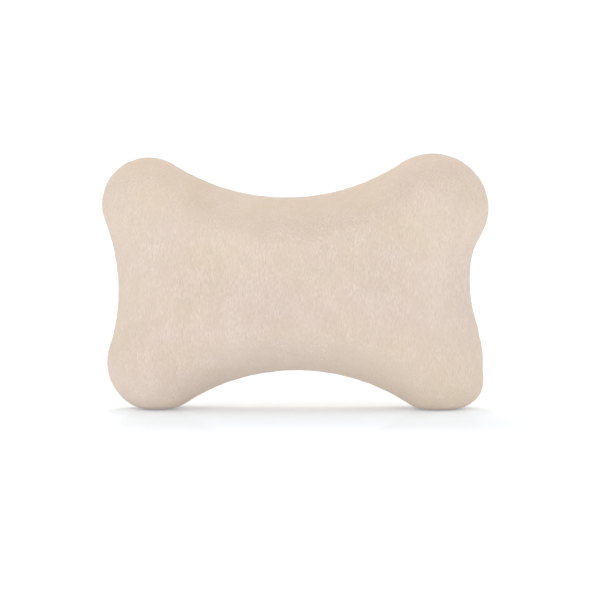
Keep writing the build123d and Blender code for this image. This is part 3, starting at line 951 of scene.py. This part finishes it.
class Material:
    """A Principled material whose nodes are made by short calls."""

    def __init__(self, name):
        self.made = bpy.data.materials.new(name)
        self.made.use_nodes = True
        self.tree = self.made.node_tree
        self.shader = self.tree.nodes["Principled BSDF"]
        self.place = self.tree.nodes.new("ShaderNodeTexCoord").outputs["Object"]

    def feed(self, socket, value):
        if isinstance(value, bpy.types.NodeSocket):
            self.tree.links.new(value, socket)
        else:
            socket.default_value = value

    def set(self, **values):
        for name, value in values.items():
            self.feed(self.shader.inputs[name.replace("_", " ")], value)

    def node(self, kind, settings=(), **inputs):
        made = self.tree.nodes.new("ShaderNode" + kind)
        for name, value in dict(settings).items():
            setattr(made, name, value)
        for name, value in inputs.items():
            key = int(name[1:]) if name[1:].isdigit() else name.replace("_", " ")
            self.feed(made.inputs[key], value)
        return made

    def stretched(self, x, y, z):
        """Object coordinates counted in cells of these sizes in millimetres."""
        scale = [1 / (size * MM) for size in (x, y, z)]
        return self.node("VectorMath", {"operation": "MULTIPLY"}, i0=self.place, i1=scale).outputs[0]

    def noise(self, cells, detail=2.0, roughness=0.5):
        amount = {"Scale": 1.0, "Detail": detail, "Roughness": roughness}
        return self.node("TexNoise", Vector=self.stretched(*cells), **amount).outputs["Fac"]

    def math(self, operation, a, b=0.0):
        return self.node("Math", {"operation": operation}, i0=a, i1=b).outputs[0]

    def plus(self, a, b):
        return self.math("ADD", a, b)

    def times(self, a, b):
        return self.math("MULTIPLY", a, b)

    def wave(self, axis, size):
        """A sine from -1 to 1 along an axis (0, 1 or 2), one period per size in millimetres."""
        place = self.node("SeparateXYZ", Vector=self.place).outputs[axis]
        return self.math("SINE", self.times(place, 2 * math.pi / (size * MM)))

    def slanted_wave(self, lean, size):
        """A sine from -1 to 1 that runs on a slant between X and Z."""
        place = self.node("SeparateXYZ", Vector=self.place).outputs
        slant = self.plus(place[0], self.times(place[2], lean))
        return self.math("SINE", self.times(slant, 2 * math.pi / (size * MM)))

    def mix(self, factor, first, second, blend="MIX"):
        settings = {"data_type": "RGBA", "blend_type": blend}
        return self.node("Mix", settings, i0=factor, i6=first, i7=second).outputs[2]

    def over(self, tone, colour, mask, share):
        """The tone with a colour laid over it, a share of it where the mask is whole."""
        return self.mix(self.times(mask, share), tone, colour)

    def ramp(self, factor, low=0.3, high=0.7, first=0.0, last=1.0, kind="LINEAR"):
        """The factor stretched so that low gives the first value and high gives the last."""
        ends = {"From_Min": low, "From_Max": high, "To_Min": first, "To_Max": last}
        return self.node("MapRange", {"interpolation_type": kind}, Value=factor, **ends).outputs[0]

    def bump(self, height, distance, strength=1.0, under=None):
        made = self.node("Bump", Height=height, Distance=distance, Strength=strength)
        if under is not None:
            self.feed(made.inputs["Normal"], under)
        return made.outputs[0]


def shade(red, green, blue):
    """A linear colour from the usual 0 to 255 values, none of them almost black."""
    return [((c / 255 + 0.055) / 1.055)**2.4 for c in (red, green, blue)] + [1.0]


def velour_material():
    """Short dense pile: a warm beige whose nap lies in fine upright streaks."""
    m = Material("velour")
    streak = m.noise((0.8, 0.9, 3.2), detail=3, roughness=0.6)
    mottle = m.noise((13, 13, 18), detail=3, roughness=0.62)
    lay = m.noise((60, 60, 75), detail=1)
    fibre = m.noise((0.28, 0.28, 0.5), roughness=0.6)
    dye = m.noise((85, 85, 60), roughness=0.6)
    light, dark, warm = shade(236, 219, 206), shade(207, 190, 178), shade(214, 197, 180)
    tone = m.mix(m.ramp(streak), dark, light)
    tone = m.over(tone, warm, m.ramp(mottle, 0.36, 0.64), 0.55)
    tone = m.over(tone, light, m.ramp(lay), 0.3)
    cast = m.mix(m.ramp(dye, 0.4, 0.6), shade(255, 254, 255), shade(255, 254, 249))
    tone = m.mix(1.0, tone, cast, blend="MULTIPLY")
    nap = m.bump(streak, 0.35 * MM, 0.95)
    nap = m.bump(fibre, 0.2 * MM, 0.5, under=nap)
    m.set(Base_Color=tone, Roughness=0.92, Specular_IOR_Level=0.15, Normal=nap)
    m.set(Sheen_Weight=0.25, Sheen_Roughness=0.45, Sheen_Tint=shade(255, 244, 232))
    return m.made


def knit_material():
    """Thin stretch jersey: columns of small loops."""
    m = Material("knit")
    column, course = m.wave(0, 1.1), m.wave(2, 0.9)
    loops = m.times(column, course)
    fuzz = m.noise((0.5, 0.5, 0.5))
    height = m.plus(m.times(loops, 0.5), fuzz)
    tone = m.mix(m.ramp(height, 0.1, 0.9), shade(205, 202, 194), shade(236, 233, 226))
    m.set(Base_Color=tone, Roughness=0.85, Normal=m.bump(height, 0.2 * MM, 0.6), Sheen_Weight=0.15)
    return m.made


def foam_material():
    """Slow memory foam: pale yellow, with open pores and a smooth moulded skin."""
    m = Material("foam")
    cells = m.node("TexVoronoi", Vector=m.stretched(1.6, 1.6, 1.6), Scale=1.0).outputs["Distance"]
    pores = m.ramp(cells, 0.1, 0.45)
    patch = m.noise((25, 25, 25), detail=3)
    tone = m.mix(m.ramp(patch), shade(233, 223, 190), shade(242, 234, 208))
    tone = m.over(tone, shade(201, 186, 146), m.math("SUBTRACT", 1.0, pores), 0.35)
    m.set(Base_Color=tone, Roughness=0.95, Normal=m.bump(pores, 0.3 * MM, 0.6))
    m.set(Subsurface_Weight=0.1, Subsurface_Scale=2 * MM)
    return m.made


def tape_material():
    """Polyester tape in a fine twill, with a little sheen."""
    m = Material("zip_tape")
    warp, twill = m.wave(2, 0.62), m.slanted_wave(0.8, 0.85)
    weave = m.plus(m.times(warp, 0.5), m.times(twill, 0.5))
    fleck = m.noise((0.4, 0.4, 0.9))
    tone = m.mix(m.ramp(weave, -0.8, 0.9), shade(190, 170, 148), shade(219, 201, 180))
    tone = m.over(tone, shade(232, 217, 199), fleck, 0.25)
    m.set(Base_Color=tone, Roughness=0.7, Normal=m.bump(weave, 0.12 * MM, 0.7), Sheen_Weight=0.2)
    return m.made


def nylon_material():
    """Drawn nylon filament: glossy, faintly see-through, finely scored by the slider."""
    m = Material("nylon_coil")
    dye = m.noise((6, 2, 2))
    score = m.noise((0.5, 0.15, 0.15))
    tone = m.mix(m.ramp(dye), shade(205, 184, 160), shade(222, 204, 182))
    m.set(Base_Color=tone, Roughness=m.ramp(score, 0, 1, 0.28, 0.48))
    m.set(Normal=m.bump(score, 0.03 * MM, 0.4))
    m.set(Subsurface_Weight=0.15, Subsurface_Scale=0.5 * MM)
    return m.made


def metal_material():
    """Enamelled zinc: beige paint, rubbed through to the metal on raised edges."""
    m = Material("zip_metal")
    rounded = m.node("Bevel", {"samples": 6}, Radius=0.3 * MM).outputs[0]
    plain = m.node("NewGeometry").outputs["Normal"]
    facing = m.node("VectorMath", {"operation": "DOT_PRODUCT"}, i0=rounded, i1=plain).outputs["Value"]
    grain = m.noise((0.9, 0.9, 0.9), detail=4, roughness=0.65)
    edge = m.plus(m.math("SUBTRACT", 1.0, facing), m.times(grain, 0.12))
    rub = m.ramp(edge, 0.12, 0.2)
    cast = m.noise((0.35, 0.35, 0.35))
    paint = m.mix(m.ramp(grain), shade(196, 176, 152), shade(208, 189, 166))
    m.set(Base_Color=m.mix(rub, paint, shade(205, 203, 198)), Metallic=rub)
    m.set(Roughness=m.ramp(rub, 0, 1, 0.36, 0.24), Normal=m.bump(cast, 0.04 * MM, 0.3))
    return m.made


def thread_material():
    """Spun polyester thread with its twist."""
    m = Material("thread")
    twist = m.slanted_wave(1.3, 0.4)
    fuzz = m.noise((0.2, 0.2, 0.2))
    tone = m.mix(m.ramp(twist, -1, 1), shade(212, 193, 172), shade(234, 219, 202))
    tone = m.over(tone, shade(245, 234, 222), fuzz, 0.2)
    m.set(Base_Color=tone, Roughness=0.6, Normal=m.bump(twist, 0.05 * MM, 0.6), Sheen_Weight=0.2)
    return m.made


def elastic_material():
    """Knitted elastic: fine courses across the ribs, rubber-drawn and slightly glossy."""
    m = Material("elastic")
    course, chain = m.wave(0, 0.85), m.wave(2, 0.57)
    crossed = m.times(m.times(course, chain), 0.4)
    knit = m.plus(m.times(course, 0.6), crossed)
    fuzz = m.noise((0.35, 0.35, 0.6))
    stain = m.noise((22, 22, 9))
    tone = m.mix(m.ramp(knit, -0.9, 0.9), shade(203, 184, 163), shade(231, 214, 195))
    tone = m.over(tone, shade(214, 196, 176), stain, 0.2)
    height = m.plus(knit, m.times(fuzz, 0.5))
    m.set(Base_Color=tone, Roughness=0.62, Normal=m.bump(height, 0.12 * MM, 0.8), Sheen_Weight=0.15)
    return m.made


def satin_material():
    """Woven satin ribbon with fine cross threads."""
    m = Material("label_satin")
    float_run = m.noise((2.2, 2.2, 0.16))
    height = m.plus(float_run, m.times(m.wave(2, 0.3), 0.3))
    tone = m.mix(m.ramp(float_run), shade(236, 233, 226), shade(250, 248, 243))
    m.set(Base_Color=tone, Roughness=0.34, Normal=m.bump(height, 0.04 * MM, 0.5))
    m.set(Sheen_Weight=0.1, Anisotropic=0.5)
    return m.made


def finish_metal_parts():
    """The CAD's slider, pull tab and stops, with softened edges."""
    metal = metal_material()
    for name in ("zipper_slider", "zipper_pull", "zipper_bottom_stop", "zipper_top_stops"):
        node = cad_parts[name]
        node.data.materials.clear()
        node.data.materials.append(metal)
        weld = node.modifiers.new("weld", "WELD")
        weld.merge_threshold = 0.005 * MM
        bevel = node.modifiers.new("bevel", "BEVEL")
        bevel.width = 0.22 * MM
        bevel.segments = 3
        bevel.limit_method = "ANGLE"
        bevel.angle_limit = math.radians(35)
        bevel.harden_normals = True


# ---- the object ------------------------------------------

front_grid = Grid(Outline(24, 64, 36))
zip_grid = Grid(Outline(24, 64, 0, zip_rows=(5, 18)), straight_zip=True)
cloth = simulated_shift(front_grid)
make_cover(front_grid, zip_grid, cloth)
make_liner(front_grid, cloth)
make_foam(front_grid, cloth)
make_tapes()
make_coils()
make_stitching()
make_strap()
make_label()
finish_metal_parts()

# ---- floor, light and camera -----------------------------

FLOOR_HALF = 12.0
FLOOR_GAP = 0.2 * MM                   # between the floor and the feet
FLOOR_TINT = shade(226, 239, 255)      # cool enough to leave the warm light's shadow grey
# Painted light: the floor glows, weaker near the object and stronger farther off, and so also lights
# the pillow from below.
FLOOR_GLOW, FLOOR_FAR_GLOW = 0.2, 0.41
FLOOR_FADE = (150 * MM, 800 * MM)      # distances over which the glow grows
REFLECTION = 0.12
REFLECTION_REACH = 1.0                 # in front of the object, where it has faded out
WORLD_LIGHT, BACKDROP = 0.865, 1.1
CAMERA_TARGET = Vector((3.4 * MM, MIDDLE_Y, 81.3 * MM))
CAMERA_DISTANCE = 3.0
CAMERA_FIELD = 449 * MM                # width seen at the target
CAMERA_ELEVATION = math.radians(4)


def make_floor():
    """A pale glossy sheet whose reflection fades with the distance in front. It glows as painted light,
    more with the distance from the object.
    """
    mesh = bpy.data.meshes.new("floor")
    corners = [(x * FLOOR_HALF, y * FLOOR_HALF, 0) for x, y in ((-1, -1), (1, -1), (1, 1), (-1, 1))]
    mesh.from_pydata(corners, [], [(0, 1, 2, 3)])
    floor = added("floor", mesh)
    floor.location.z = -FLOOR_GAP
    m = Material("floor")
    away = m.node("VectorMath", {"operation": "LENGTH"}, i0=m.place).outputs["Value"]
    # Painted light: the floor's glow, which grows with the distance from the object.
    glow = m.ramp(away, *FLOOR_FADE, FLOOR_GLOW, FLOOR_FAR_GLOW, "SMOOTHSTEP")
    m.set(Base_Color=shade(249, 253, 255), Roughness=0.7, Specular_IOR_Level=0.0)
    m.set(Emission_Color=FLOOR_TINT, Emission_Strength=glow)
    depth = m.node("SeparateXYZ", Vector=m.place).outputs[1]
    share = m.times(m.ramp(depth, -REFLECTION_REACH, 0, kind="SMOOTHSTEP"), REFLECTION)
    gloss = m.node("BsdfGlossy", Roughness=0.04)
    mixed = m.node("MixShader", i0=share, i1=m.shader.outputs[0], i2=gloss.outputs[0])
    m.feed(m.tree.nodes["Material Output"].inputs["Surface"], mixed.outputs[0])
    mesh.materials.append(m.made)


def aimed(name, data, place, aim):
    """A light or camera at a place, turned towards an aim."""
    made = added(name, data)
    made.location = place
    made.rotation_mode = "QUATERNION"
    made.rotation_quaternion = (Vector(aim) - Vector(place)).to_track_quat("-Z", "Y")
    return made


def make_light(name, place, size, power, aim, colour):
    data = bpy.data.lights.new(name, "AREA")
    data.color = colour
    data.shape = "DISK"
    data.size = size
    data.energy = power
    aimed(name, data, place, aim)


def make_world():
    """White all round, a little dimmer as light than as the backdrop that is seen."""
    world = bpy.data.worlds.new("studio")
    world.use_nodes = True
    nodes, links = world.node_tree.nodes, world.node_tree.links
    fill, seen = nodes["Background"], nodes.new("ShaderNodeBackground")
    fill.inputs["Color"].default_value = (1, 0.994, 0.98, 1)
    fill.inputs["Strength"].default_value = WORLD_LIGHT
    seen.inputs["Color"].default_value = (1, 1, 1, 1)
    seen.inputs["Strength"].default_value = BACKDROP
    mix = nodes.new("ShaderNodeMixShader")
    links.new(nodes.new("ShaderNodeLightPath").outputs["Is Camera Ray"], mix.inputs[0])
    links.new(fill.outputs[0], mix.inputs[1])
    links.new(seen.outputs[0], mix.inputs[2])
    links.new(mix.outputs[0], nodes["World Output"].inputs["Surface"])
    bpy.context.scene.world = world


def make_camera():
    data = bpy.data.cameras.new("camera")
    data.sensor_width = 36
    data.lens = data.sensor_width * CAMERA_DISTANCE / CAMERA_FIELD
    data.clip_end = 100
    back = Vector((0, -math.cos(CAMERA_ELEVATION), math.sin(CAMERA_ELEVATION)))
    place = CAMERA_TARGET + back * CAMERA_DISTANCE
    bpy.context.scene.camera = aimed("camera", data, place, CAMERA_TARGET)


make_floor()
make_world()
make_light("key", (-1.6, -2.4, 0.16), 1.1, 7.6, (0, 0, 90 * MM), (1, 0.985, 0.98))
make_light("front", (1.1, -2.7, 0.3), 1.2, 6, (0, 0, 90 * MM), (1, 0.95, 0.82))
make_light("top", (-0.2, 1.3, 1.8), 0.8, 9.5, (0, 0, 0), (1, 0.93, 0.82))
make_camera()
bpy.context.scene.view_settings.view_transform = "Standard"
